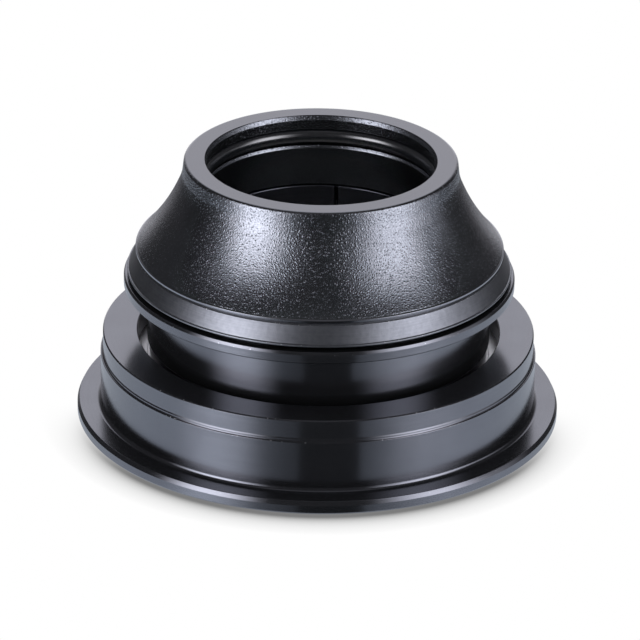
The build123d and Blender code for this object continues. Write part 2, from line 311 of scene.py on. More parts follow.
class Graph:
    """A node tree that is being filled."""

    def __init__(self, tree: bpy.types.NodeTree) -> None:
        """Empties the tree."""
        self.tree = tree
        tree.nodes.clear()

    def node(self, kind: str, settings: dict[str, Any], sockets: dict[Any, Any]) -> bpy.types.Node:
        """Adds any node.

        Args:
            kind: Blender's type name.
            settings: Attributes, set before the sockets.
            sockets: Values, sockets or wires for inputs, by name or number.

        Returns:
            The new node.
        """
        node = self.tree.nodes.new(kind)
        for key, value in settings.items():
            setattr(node, key, value)
        for key, value in sockets.items():
            source = value.socket if isinstance(value, Wire) else value
            if isinstance(source, bpy.types.NodeSocket):
                self.tree.links.new(source, node.inputs[key])
            else:
                node.inputs[key].default_value = source
        return node

    def split(self, vector: bpy.types.NodeSocket) -> list[Wire]:
        """The three parts of a vector socket."""
        node = self.node("ShaderNodeSeparateXYZ", {}, {"Vector": vector})
        return [Wire(self, socket) for socket in node.outputs]

    def join(self, x: Any, y: Any, z: Any) -> bpy.types.NodeSocket:
        """A vector from three wires or numbers."""
        return self.node("ShaderNodeCombineXYZ", {}, {0: x, 1: y, 2: z}).outputs[0]

    def noise(
        self, vector: bpy.types.NodeSocket, scale: float, detail: float = 2.0, rough: float = 0.5
    ) -> Wire:
        """Noise between 0 and 1.

        Args:
            vector: Where it is read.
            scale: Grains per unit of the vector.
            detail: Octaves.
            rough: Weight of each finer octave.

        Returns:
            The noise value.
        """
        node = self.node(
            "ShaderNodeTexNoise",
            {},
            {"Vector": vector, "Scale": scale, "Detail": detail, "Roughness": rough},
        )
        return Wire(self, node.outputs[0])

    def cells(self, vector: bpy.types.NodeSocket, scale: float) -> tuple[Wire, Wire]:
        """Scattered cells.

        Args:
            vector: Where they are read.
            scale: Cells per unit of the vector.

        Returns:
            Distance to the cell's middle, in cells, and a random number for each cell.
        """
        node = self.node("ShaderNodeTexVoronoi", {}, {"Vector": vector, "Scale": scale})
        return Wire(self, node.outputs["Distance"]), self.split(node.outputs["Color"])[0]

    def blend(self, share: Wire, low: Any, high: Any) -> bpy.types.NodeSocket:
        """Colour mixed by a share from 0 to 1, from colours or sockets."""
        ends = [(*end, 1.0) if isinstance(end, tuple) else end for end in (low, high)]
        node = self.node("ShaderNodeMix", {"data_type": "RGBA"}, {0: share, 6: ends[0], 7: ends[1]})
        return node.outputs[2]

    def bump(self, height: Wire, distance: float) -> bpy.types.NodeSocket:
        """Normal bent by a height that is 1 at the given distance in metres."""
        return self.node("ShaderNodeBump", {}, {"Height": height, "Distance": distance}).outputs[0]


class Surface(Graph):
    """Node tree of one material, with the coordinates that turned parts are finished in."""

    WANDER = 0.02
    LINE_DETAIL = 3.0
    LINE_ROUGH = 0.6
    TONES = (0.3, 0.7)

    def __init__(self, name: str) -> None:
        """Makes the material and reads Object coordinates, in millimetres."""
        self.material = bpy.data.materials.new(name)
        self.material.use_nodes = True
        super().__init__(self.material.node_tree)
        place = self.node("ShaderNodeTexCoord", {}, {}).outputs["Object"]
        scaled = self.node("ShaderNodeVectorMath", {"operation": "SCALE"}, {0: place, "Scale": 1 / MM})
        self.place = scaled.outputs[0]
        self.x, self.y, self.z = self.split(self.place)
        self.radius = (self.x * self.x + self.y * self.y) ** 0.5
        self.rings = self.join(self.radius, self.z, (self.x + self.y) * self.WANDER)

    def lines(self, pitch: float) -> Wire:
        """Turning lines around the axis, from 0 to 1."""
        return self.noise(self.rings, 1 / pitch, self.LINE_DETAIL, self.LINE_ROUGH)

    def toned(self, tone: Wire, dark: Colour, light: Colour) -> bpy.types.NodeSocket:
        """Colour between two shades, by a noise value."""
        return self.blend(tone.step(*self.TONES), dark, light)

    def finish(self, constants: dict[str, Any], varying: dict[str, Any]) -> bpy.types.Material:
        """Ends the tree in a Principled shader.

        Args:
            constants: Values set on the shader's own sockets.
            varying: Wires or sockets for what changes over the surface.

        Returns:
            The material.
        """
        shader = self.node("ShaderNodeBsdfPrincipled", {}, {**constants, **varying})
        self.node("ShaderNodeOutputMaterial", {}, {"Surface": shader.outputs[0]})
        return self.material


# Finishes

CLOUD_SHARE = 0.6
CLOUD_DETAIL = 3.0
MEAN_TONE = 0.5
QUARTER_TURN = 0.25


@dataclass(frozen=True)
class TurnedMetal:
    """Bare metal with fine turning lines and slow changes of tone."""

    slot: Slot
    dark: Colour
    light: Colour
    roughness: float
    line_pitch: float
    line_depth: float
    cloud_size: float = 6.0
    roughness_spread: float = 0.06

    def material(self, name: str) -> bpy.types.Material:
        """Builds the material.

        Args:
            name: Name of the material.

        Returns:
            The material.
        """
        s = Surface(name)
        lines = s.lines(self.line_pitch)
        cloud = s.noise(s.place, 1 / self.cloud_size, CLOUD_DETAIL)
        tone = cloud * CLOUD_SHARE + lines * (1 - CLOUD_SHARE)
        return s.finish(
            {"Metallic": 1.0},
            {
                "Base Color": s.toned(tone, self.dark, self.light),
                "Roughness": self.roughness + (tone - MEAN_TONE) * self.roughness_spread,
                "Normal": s.bump(lines, self.line_depth * MM),
            },
        )


@dataclass(frozen=True)
class Anodised:
    """Black anodised metal with turning lines, stray specks, nicked edges and, in a cup with a bore, a
    duller bore whose colour is darkened as painted shade.

    The groove value spreads reflections across the turning lines.
    """

    slot: Slot
    dark: Colour
    light: Colour
    roughness: float
    line_pitch: float
    line_depth: float
    blotch_size: float
    blotch_depth: float
    edges: tuple[Span, ...]
    bore_r: float = 0.0
    mottle: float = 0.0
    groove: float = 0.0
    # Colour inside the bore: painted shade, darker than the face.
    painted_bore_shade: Colour = (0.035, 0.036, 0.04)
    bore_soft: float = 0.1
    bore_dull: float = 0.2
    metal_share: float = 0.955
    cloud_size: float = 6.25
    roughness_spread: float = 0.05
    nick: Colour = (0.62, 0.62, 0.64)
    nick_reach: float = 0.13
    nick_size: float = 0.25
    nick_share: Span = (0.66, 0.72)
    nick_dull: float = 0.2
    streak_reach: float = 0.5
    streak_depth: float = 0.007
    speck_spacing: float = 5.0
    speck_size: float = 0.09

    def near(self, s: Surface, reach: float) -> Wire:
        """Nearness to the edges' circles.

        Args:
            s: The material's nodes.
            reach: Distance at which it falls to 0.

        Returns:
            Value from 0 to 1.
        """
        total: Any = 0.0
        for radius, height in self.edges:
            away = ((s.radius - radius) ** 2.0 + (s.z - height) ** 2.0) ** 0.5
            total = away.step(reach, 0.0) + total
        return total

    def nicks(self, s: Surface) -> Wire:
        """Share of bare metal: grains along the edges and stray specks.

        Args:
            s: The material's nodes.

        Returns:
            Value from 0 to 1.
        """
        grain = s.noise(s.place, 1 / self.nick_size).step(*self.nick_share)
        specks = s.cells(s.place, 1 / self.speck_spacing)[0]
        stray = specks.step(self.speck_size / self.speck_spacing, 0.0)
        bare = self.near(s, self.nick_reach) * grain + stray
        return bare.math("MINIMUM", bare, 1.0)

    def material(self, name: str) -> bpy.types.Material:
        """Builds the material.

        Args:
            name: Name of the material.

        Returns:
            The material.
        """
        s = Surface(name)
        lines = s.lines(self.line_pitch)
        blotch = s.noise(s.place, 1 / self.blotch_size)
        cloud = s.noise(s.place, 1 / self.cloud_size, CLOUD_DETAIL)
        plain = cloud * CLOUD_SHARE + lines * (1 - CLOUD_SHARE)
        tone = plain * (1 - self.mottle) + blotch * self.mottle
        nicks = self.nicks(s)
        inside = s.radius.step(self.bore_r + self.bore_soft, self.bore_r)
        # Painted shade: inside the bore the colour darkens towards the bore colour; the bore is also
        # duller.
        dye_and_painted_light = s.blend(inside, s.toned(tone, self.dark, self.light), self.painted_bore_shade)
        spread = (tone - MEAN_TONE) * self.roughness_spread
        dull = spread + nicks * self.nick_dull + inside * self.bore_dull
        depth = self.near(s, self.streak_reach) * self.streak_depth + self.line_depth
        height = lines * depth + blotch * self.blotch_depth
        return s.finish(
            {
                "Metallic": self.metal_share,
                "Anisotropic": self.groove,
                "Anisotropic Rotation": QUARTER_TURN,
            },
            {
                "Base Color": s.blend(nicks, dye_and_painted_light, self.nick),
                "Roughness": self.roughness + dull,
                "Normal": s.bump(height, MM),
            },
        )


@dataclass(frozen=True)
class Grained:
    """Blasted metal, anodised black: fine grain with scattered sparks between two heights, turned faces
    beyond, where the strip below the grain is coloured lighter as a painted highlight.

    In the bore the grain is faint below a given height.
    """

    slot: Slot
    dark: Colour
    light: Colour
    plain: Colour
    # Colour below the grain: lighter than the plain turned colour, a painted highlight on the cone's base
    # strip.
    strip: Colour
    grain_from: float
    grain_to: float
    grain_size: float
    grain_depth: float
    spark_size: float
    spark_depth: float
    spark_share: float
    rough_grain: float
    rough_plain: float
    grain_detail: float = 1.0
    grain_soft: float = 0.12
    spark_soft: float = 0.02
    spark_reach: float = 0.5
    bore_r: float = 14.49
    bore_z: float = 33.2
    bore_soft: float = 0.15
    bore_grain: float = 0.1
    line_pitch: float = 0.125
    line_depth: float = 0.001
    cloud_scale: float = 0.15

    def material(self, name: str) -> bpy.types.Material:
        """Builds the material.

        Args:
            name: Name of the material.

        Returns:
            The material.
        """
        s = Surface(name)
        grained = s.z.window(self.grain_from, self.grain_to, self.grain_soft)
        grain = s.noise(s.place, 1 / self.grain_size, self.grain_detail)
        middle, luck = s.cells(s.place, 1 / self.spark_size)
        bare = 1 - self.spark_share
        spark = luck.step(bare, bare + self.spark_soft) * middle.step(self.spark_reach, 0.0)
        reached = s.radius.step(self.bore_r, self.bore_r + self.bore_soft)
        high = s.z.step(self.bore_z, self.bore_z + self.bore_soft)
        outside = reached.math("MAXIMUM", reached, high) * (1 - self.bore_grain) + self.bore_grain
        rough = grained * outside * (grain * self.grain_depth + spark * self.spark_depth)
        lines = s.noise(s.rings, 1 / self.line_pitch)
        height = rough + (1 - grained) * lines * self.line_depth
        tone = (s.noise(s.place, self.cloud_scale) + grain) / 2
        # Painted highlight: below the grain the turned faces take the lighter strip colour, above it the
        # plain colour.
        turned = s.blend(s.z.step(self.grain_from, self.grain_to), self.strip, self.plain)
        dye_and_painted_light = s.blend(grained, turned, s.toned(tone, self.dark, self.light))
        return s.finish(
            {"Metallic": 1.0},
            {
                "Base Color": dye_and_painted_light,
                "Roughness": self.rough_plain + grained * (self.rough_grain - self.rough_plain),
                "Normal": s.bump(height, MM),
            },
        )


@dataclass(frozen=True)
class MouldedSoft:
    """Rubber or nylon with a faint moulded grain."""

    slot: Slot
    dark: Colour
    light: Colour
    roughness: float
    grain_size: float
    grain_depth: float
    index: float = 1.5
    grain_detail: float = 3.0
    roughness_spread: float = 0.08

    def material(self, name: str) -> bpy.types.Material:
        """Builds the material.

        Args:
            name: Name of the material.

        Returns:
            The material.
        """
        s = Surface(name)
        grain = s.noise(s.place, 1 / self.grain_size, self.grain_detail)
        return s.finish(
            {"Metallic": 0.0, "IOR": self.index},
            {
                "Base Color": s.toned(grain, self.dark, self.light),
                "Roughness": self.roughness + (grain - MEAN_TONE) * self.roughness_spread,
                "Normal": s.bump(grain, self.grain_depth * MM),
            },
        )


CUP: dict[str, Any] = {
    "slot": Slot.SATIN_BLACK, "dark": (0.094, 0.097, 0.108), "light": (0.108, 0.112, 0.124),
    "roughness": 0.18, "line_pitch": 0.2, "line_depth": 0.0014, "blotch_size": 2.0, "blotch_depth": 0.002,
    "groove": 0.65,
}


class Finish(Enum):
    """Finishes of the headset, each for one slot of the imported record."""

    CONE = Grained(
        slot=Slot.TEXTURED_BLACK, dark=(0.108, 0.114, 0.125), light=(0.168, 0.177, 0.193),
        # The strip colour is a painted highlight on the cone's base strip.
        plain=(0.088, 0.09, 0.098), strip=(0.15, 0.154, 0.167), grain_from=23.4, grain_to=35.02,
        grain_size=0.2, grain_depth=0.026, spark_size=0.28, spark_depth=0.025, spark_share=0.78,
        rough_grain=0.27, rough_plain=0.16,
    )
    COVER = Anodised(
        slot=Slot.SATIN_BLACK, dark=(0.1, 0.105, 0.116), light=(0.148, 0.155, 0.169), roughness=0.36,
        line_pitch=0.16, line_depth=0.005, blotch_size=0.6, blotch_depth=0.012,
        edges=((23.45, 22.6), (24.5, 20.35)), mottle=0.3,
    )
    UPPER_CUP = Anodised(**CUP, edges=((25.0, 19.3),))
    # The lower cup's bore gets the painted shade colour.
    LOWER_CUP = Anodised(
        **CUP, edges=((27.65, 11.55), (23.27, 11.55), (27.98, 8.7), (30.9, 1.9)), bore_r=23.3
    )
    RING = TurnedMetal(
        slot=Slot.RING_ALLOY, dark=(0.1, 0.103, 0.12), light=(0.13, 0.134, 0.155), roughness=0.25,
        line_pitch=0.2, line_depth=0.002,
    )
    STEEL = TurnedMetal(
        slot=Slot.BEARING_STEEL, dark=(0.58, 0.58, 0.59), light=(0.66, 0.66, 0.66), roughness=0.3,
        line_pitch=0.15, line_depth=0.002,
    )
    BALLS = TurnedMetal(
        slot=Slot.BALL_STEEL, dark=(0.72, 0.72, 0.73), light=(0.78, 0.78, 0.78), roughness=0.06,
        line_pitch=0.6, line_depth=0.0005,
    )
    SHIELD = TurnedMetal(
        slot=Slot.BEARING_STEEL, dark=(0.78, 0.78, 0.79), light=(0.86, 0.86, 0.86), roughness=0.45,
        line_pitch=0.15, line_depth=0.002,
    )
    RACE = TurnedMetal(
        slot=Slot.RACE_STEEL, dark=(0.1, 0.1, 0.105), light=(0.14, 0.14, 0.145), roughness=0.3,
        line_pitch=0.2, line_depth=0.002,
    )
    NYLON = MouldedSoft(
        slot=Slot.CAGE_NYLON, dark=(0.5, 0.45, 0.35), light=(0.6, 0.55, 0.45), roughness=0.5,
        grain_size=0.4, grain_depth=0.01,
    )
    RUBBER = MouldedSoft(
        slot=Slot.BLACK_RUBBER, dark=(0.007, 0.008, 0.01), light=(0.012, 0.013, 0.016), roughness=0.21,
        grain_size=0.25, grain_depth=0.001, index=1.9,
    )


class Paints:
    """Materials by finish, each made once."""

    def __init__(self) -> None:
        """Builds a material for every finish."""
        self.by_finish = {finish: finish.value.material(finish.name.lower()) for finish in Finish}

    def apply(self, piece: bpy.types.Object, finish: Finish) -> None:
        """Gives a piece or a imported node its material."""
        piece.data.materials.clear()
        piece.data.materials.append(self.by_finish[finish])


def place(piece: bpy.types.Object, body: Body, finish: Finish, paints: Paints) -> None:
    """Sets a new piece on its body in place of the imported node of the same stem.

    Args:
        piece: Object named after its node, plus a trailing word.
        body: Body that it rides on.
        finish: Finish that it gets.
        paints: The materials.
    """
    node = piece.name.removesuffix("_turned")
    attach(piece, body.value)
    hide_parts(node)
    paints.apply(piece, finish)
    LOG.info("%s: %d faces on %s", piece.name, len(piece.data.polygons), body.value)


# Sub-assemblies, whose sections are rows of radius, height and edge round


class Round:
    """Edge rounds of the sections, from a closed seam to an open top edge."""

    SEAM = 0.02
    STEP = 0.03
    TIGHT = 0.04
    CRISP = 0.05
    FINE = 0.06
    BEVEL = 0.07
    MILD = 0.08
    LIP = 0.09
    PLAIN = 0.1
    FOOT = 0.12
    MOUTH = 0.15
    WEB = 0.2
    TOP = 0.3


@dataclass
class UpperTurningSet:
    """Cone spacer, O-ring, bearing cover and compression ring, which turn with the steerer."""

    bore_r: float = 14.5
    top_z: float = 35.1
    collar_r: float = 17.38
    collar_round: float = 0.42
    throat: Span = (17.6, 33.2)
    throat_hollow: float = 0.08
    flare: Span = (18.32, 31.0)
    flare_hollow: float = 0.39
    strip: Span = (23.3, 23.35)
    base_r: float = 23.5
    cone_z: float = 22.8
    seam: float = 0.2
    strip_edge: float = 0.1
    recess: Span = (15.75, 25.55)
    groove_r: float = 16.34
    groove_z: Span = (30.95, 33.25)
    groove_edge: Span = (0.2, 0.35)
    bore_edge: Span = (14.77, 34.5)
    ring_bore_r: float = 14.3
    ring_foot: Span = (15.175, 18.0)
    ring_shoulder: Span = (16.8, 19.625)
    ring_seat_z: float = 20.3
    ring_collar_r: float = 15.6
    ring_top_z: float = 25.4
    ring_slit: float = 0.22
    ring_bearing: float = 82.0
    o_ring_r: float = 15.27
    o_ring_section: float = 2.1
    o_ring_z: float = 32.1
    cover_z: float = 20.1
    lip_r: float = 24.55
    lip_z: float = 20.4
    band_r: float = 24.35
    cover_hub_r: float = 15.7
    cover_hub_wall: float = 1.5
    cover_web_z: float = 21.7
    cover_cavity_r: float = 22.9
    throat_points: int = 8
    flare_points: int = 36
    o_ring_points: int = 40
    segments: int = 256

    def cone_section(self) -> np.ndarray:
        """Section of the cone: throat and flare arcs, strip, recess, O-ring groove and collar."""
        throat = arc(self.throat, self.flare, -self.throat_hollow, self.throat_points)
        flare = arc(self.flare, self.strip, -self.flare_hollow, self.flare_points)
        low, high = self.groove_z
        rest = [
            (self.base_r, self.strip[1] - self.strip_edge, Round.FINE),
            (self.base_r, self.cone_z + self.seam, Round.TIGHT),
            (self.base_r - self.seam, self.cone_z, Round.SEAM),
            (self.recess[0], self.cone_z, Round.PLAIN),
            (*self.recess, Round.PLAIN),
            (self.bore_r, self.recess[1], Round.PLAIN),
            (self.bore_r, low - self.groove_edge[1], Round.FINE),
            (self.bore_r + self.groove_edge[0], low, Round.CRISP),
            (self.groove_r, low, Round.PLAIN),
            (self.groove_r, high, Round.PLAIN),
            (self.bore_r, high, Round.MILD),
            (self.bore_r, self.bore_edge[1], Round.PLAIN),
            (self.bore_edge[0], self.top_z, Round.FINE),
            (self.collar_r, self.top_z, self.collar_round),
        ]
        return rounded(np.concatenate([throat, flare[1:], rest]))

    def o_ring_circle(self) -> np.ndarray:
        """Section of the O-ring: a circle."""
        angle = np.linspace(0, 2 * math.pi, self.o_ring_points, endpoint=False)[:, None]
        circle = np.hstack([np.cos(angle), np.sin(angle)])
        return (self.o_ring_r, self.o_ring_z) + self.o_ring_section / 2 * circle

    def cover_section(self) -> np.ndarray:
        """Section of the bearing cover: hub, web, lipped skirt, tapered band and seam chamfer."""
        hub = self.cover_hub_r + self.cover_hub_wall
        return rounded(
            [
                (self.cover_hub_r, self.ring_seat_z, Round.PLAIN),
                (hub, self.ring_seat_z, Round.PLAIN),
                (hub, self.cover_web_z, Round.WEB),
                (self.cover_cavity_r, self.cover_web_z, Round.WEB),
                (self.cover_cavity_r, self.cover_z, Round.PLAIN),
                (self.lip_r, self.cover_z, Round.FOOT),
                (self.lip_r, self.lip_z, Round.LIP),
                (self.band_r, self.lip_z, Round.LIP),
                (self.base_r, self.cone_z - self.seam, Round.FINE),
                (self.base_r - self.seam, self.cone_z, Round.SEAM),
                (self.cover_hub_r, self.cone_z, Round.PLAIN),
            ]
        )

    def ring_section(self) -> np.ndarray:
        """Section of the compression ring: wedge foot, shoulder and collar."""
        return rounded(
            [
                (self.ring_bore_r, self.ring_foot[1], Round.CRISP),
                (*self.ring_foot, Round.CRISP),
                (*self.ring_shoulder, Round.PLAIN),
                (self.ring_shoulder[0], self.ring_seat_z, Round.PLAIN),
                (self.ring_collar_r, self.ring_seat_z, Round.PLAIN),
                (self.ring_collar_r, self.ring_top_z, Round.TOP),
                (self.ring_bore_r, self.ring_top_z, Round.MOUTH),
            ]
        )

    def build(self, paints: Paints) -> None:
        """Turns the pieces and dresses them.

        Args:
            paints: The materials.
        """
        body = Body.UPPER_TURNING
        cone = turn("cone_spacer_turned", self.cone_section(), self.segments)
        place(cone, body, Finish.CONE, paints)
        place(turn("cone_o_ring_turned", self.o_ring_circle()), body, Finish.RUBBER, paints)
        cover = turn("bearing_cover_turned", self.cover_section(), self.segments)
        place(cover, body, Finish.COVER, paints)
        section = self.ring_section()
        ring = split_turn("compression_ring_turned", section, self.ring_slit, self.ring_bearing)
        place(ring, body, Finish.RING, paints)


@dataclass
class UpperCup:
    """Upper press cup, standing on the lower bearing's shield."""

    foot_z: float = 8.5
    relief_r: float = 20.23
    relief_z: float = 10.3
    lead_r: float = 21.7
    lead_z: float = 10.5
    skirt: Span = (22.0, 10.8)
    rim_z: float = 18.07
    rim_r: float = 25.0
    top_z: float = 19.6
    pocket_r: float = 20.53
    seat_z: float = 14.37
    shelf: Span = (18.91, 12.75)
    shelf_bore_r: float = 17.63
    rim_bevel: Span = (0.17, 0.36)
    pocket_chamfer: float = 0.3
    edge: float = 0.15
    segments: int = 256

    def section(self) -> np.ndarray:
        """Section of the cup: relief, lead, skirt, rim, bearing pocket and shelf."""
        c, e = self.pocket_chamfer, self.edge
        return rounded(
            [
                (self.relief_r, self.foot_z, Round.PLAIN),
                (self.lead_r - e, self.foot_z, Round.CRISP),
                (self.lead_r, self.foot_z + e, Round.CRISP),
                (self.lead_r, self.lead_z, Round.PLAIN),
                (*self.skirt, Round.PLAIN),
                (self.skirt[0], self.rim_z, e),
                (self.rim_r - e, self.rim_z, Round.CRISP),
                (self.rim_r, self.rim_z + e, Round.CRISP),
                (self.rim_r, self.top_z - self.rim_bevel[1], Round.FINE),
                (self.rim_r - self.rim_bevel[0], self.top_z, Round.FINE),
                (self.pocket_r + c, self.top_z, Round.FINE),
                (self.pocket_r, self.top_z - c, Round.FINE),
                (self.pocket_r, self.seat_z, Round.PLAIN),
                (*self.shelf, Round.PLAIN),
                (self.shelf_bore_r, self.shelf[1], Round.PLAIN),
                (self.shelf_bore_r, self.relief_z, Round.PLAIN),
                (self.relief_r, self.relief_z, Round.PLAIN),
            ]
        )

    def build(self, paints: Paints) -> None:
        """Turns the cup and dresses it.

        Args:
            paints: The materials.
        """
        cup = turn("upper_cup_turned", self.section(), self.segments)
        place(cup, Body.CUPS, Finish.UPPER_CUP, paints)


@dataclass
class LowerCup:
    """Lower press cup with its flange, and the steel shield in its bore."""

    foot_z: float = 0.3
    flange_r: float = 31.0
    flange_z: float = 2.05
    flange_bevel: Span = (0.27, 0.55)
    foot_chamfer: float = 0.25
    root: float = 0.5
    press_r: float = 28.0
    land_z: float = 8.65
    land_break: Span = (0.04, 0.06)
    ledge_rise: float = 0.08
    lead_r: float = 27.86
    pilot_r: float = 27.7
    pilot_z: float = 9.18
    lead_rise: float = 0.15
    top_z: float = 11.6
    bore_r: float = 23.22
    shelf: Span = (24.25, 8.65)
    pocket: Span = (26.03, 6.87)
    mouth_r: float = 26.6
    mouth_z: float = 1.7
    edge: float = 0.15
    shield_r: Span = (21.348, 24.045)
    shield_z: Span = (8.1, 8.5)
    shield_dish: float = 0.05
    shield_step_r: Span = (21.9, 23.75)
    segments: int = 288

    def section(self) -> np.ndarray:
        """Section of the cup: flange, press land, step, pilot band, bore, pocket and mouth."""
        f, e = self.foot_chamfer, self.edge
        ledge_z = self.land_z + self.ledge_rise
        mid_r = (self.lead_r + self.pilot_r) / 2
        return rounded(
            [
                (self.mouth_r, self.foot_z, Round.PLAIN),
                (self.flange_r - f, self.foot_z, Round.CRISP),
                (self.flange_r, self.foot_z + f, Round.CRISP),
                (self.flange_r, self.flange_z - self.flange_bevel[1], Round.BEVEL),
                (self.flange_r - self.flange_bevel[0], self.flange_z, Round.BEVEL),
                (self.press_r, self.flange_z, self.root),
                (self.press_r, self.land_z, Round.TIGHT),
                (self.press_r - self.land_break[0], self.land_z + self.land_break[1], Round.STEP),
                (self.lead_r, ledge_z, Round.STEP),
                (mid_r, ledge_z + self.lead_rise, Round.STEP),
                (mid_r, self.pilot_z - self.lead_rise, Round.STEP),
                (self.pilot_r, self.pilot_z, Round.STEP),
                (self.pilot_r, self.top_z - e, Round.TIGHT),
                (self.pilot_r - e, self.top_z, Round.TIGHT),
                (self.bore_r + e, self.top_z, Round.TIGHT),
                (self.bore_r, self.top_z - e, Round.TIGHT),
                (self.bore_r, self.shelf[1], Round.PLAIN),
                (*self.shelf, Round.PLAIN),
                (*self.pocket, Round.PLAIN),
                (self.pocket[0], self.mouth_z + self.mouth_r - self.pocket[0], Round.PLAIN),
                (self.mouth_r, self.mouth_z, Round.PLAIN),
            ]
        )

    def shield_section(self) -> np.ndarray:
        """Section of the pressed shield: a thin ring, dished a little between its rims."""
        low, high = self.shield_z
        inner, outer = self.shield_r
        step_in, step_out = self.shield_step_r
        ramp = 2 * self.shield_dish
        dish = high - self.shield_dish
        return rounded(
            [
                (inner, low, Round.TIGHT),
                (outer, low, Round.TIGHT),
                (outer, high, Round.FINE),
                (step_out, high, Round.PLAIN),
                (step_out - ramp, dish, Round.PLAIN),
                (step_in + ramp, dish, Round.PLAIN),
                (step_in, high, Round.PLAIN),
                (inner, high, Round.FINE),
            ]
        )

    def build(self, paints: Paints) -> None:
        """Turns the cup and the shield and dresses them.

        Args:
            paints: The materials.
        """
        cup = turn("lower_cup_turned", self.section(), self.segments)
        place(cup, Body.CUPS, Finish.LOWER_CUP, paints)
        shield = turn("lower_top_shield_turned", self.shield_section())
        place(shield, Body.CUPS, Finish.SHIELD, paints)


@dataclass
class CrownSet:
    """Crown race and its seal, on the fork crown."""

    race_r: float = 19.9
    bore_chamfer: float = 0.3
    base_r: float = 24.9
    base_chamfer: float = 0.15
    seat_r: float = 24.3
    ledge_z: float = 0.45
    base_z: float = 1.2
    cone: Span = (21.9, 1.2)
    tip: Span = (20.2, 2.9)
    seal_r: float = 26.2
    seal_lip: float = 0.45

    def race_section(self) -> np.ndarray:
        """Section of the crown race: base, seal seat and 45 degree cone."""
        return rounded(
            [
                (self.race_r + self.bore_chamfer, 0.0, Round.CRISP),
                (self.base_r - self.base_chamfer, 0.0, Round.CRISP),
                (self.base_r, self.base_chamfer, Round.CRISP),
                (self.base_r, self.ledge_z, Round.CRISP),
                (self.seat_r, self.ledge_z, Round.CRISP),
                (self.seat_r, self.base_z, Round.CRISP),
                (*self.cone, Round.CRISP),
                (*self.tip, Round.CRISP),
                (self.race_r, self.tip[1], Round.CRISP),
                (self.race_r, self.bore_chamfer, Round.CRISP),
            ]
        )

    def seal_section(self) -> np.ndarray:
        """Section of the seal: a flat ring with a slanted lip."""
        return rounded(
            [
                (self.seat_r, self.ledge_z, Round.CRISP),
                (self.seal_r - self.seal_lip, self.ledge_z, Round.MILD),
                (self.seal_r, self.ledge_z + self.seal_lip, Round.MILD),
                (self.seal_r, self.base_z, Round.MILD),
                (self.seat_r, self.base_z, Round.CRISP),
            ]
        )

    def build(self, paints: Paints) -> None:
        """Turns the race and the seal and dresses them.

        Args:
            paints: The materials.
        """
        place(turn("crown_race_turned", self.race_section()), Body.LOWER_TURNING, Finish.RACE, paints)
        place(turn("crown_seal_turned", self.seal_section()), Body.LOWER_TURNING, Finish.RUBBER, paints)


@dataclass
class BearingParts:
    """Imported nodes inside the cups, which keep their own shape."""

    nodes: dict[Finish, tuple[str, ...]] = field(
        default_factory=lambda: {
            Finish.STEEL: ("upper_outer_race", "upper_inner_race", "lower_outer_race", "lower_inner_race"),
            Finish.BALLS: ("upper_balls", "lower_balls"),
            Finish.NYLON: ("upper_ball_cage", "lower_ball_cage"),
            Finish.RUBBER: ("cover_wiper_seal", "upper_top_seal", "upper_bottom_seal", "lower_bottom_seal"),
        }
    )

    def dress(self, paints: Paints) -> None:
        """Gives each node its finish.

        Args:
            paints: The materials.
        """
        for finish, names in self.nodes.items():
            for name in names:
                paints.apply(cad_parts[name], finish)
                LOG.info("%s: %s", name, finish.name.lower())


# Studio


@dataclass
class SoftBox:
    """A tall soft light, as metal sees it: compass window, height window and brightness."""

    bearing: float
    half_width: float
    soft: float
    high: float
    high_soft: float
    level: float
    low: float = -20.0
    low_soft: float = 3.0

    def seen(self, bearing: Wire, height: Wire) -> Wire:
        """Share of the light in each direction, from its bearing and height in degrees."""
        across = bearing.window(self.bearing - self.half_width, self.bearing + self.half_width, self.soft)
        half = self.high_soft / 2
        top = 1 - height.step(self.high - half, self.high + half)
        return across * height.step(self.low - self.low_soft, self.low + self.low_soft) * top


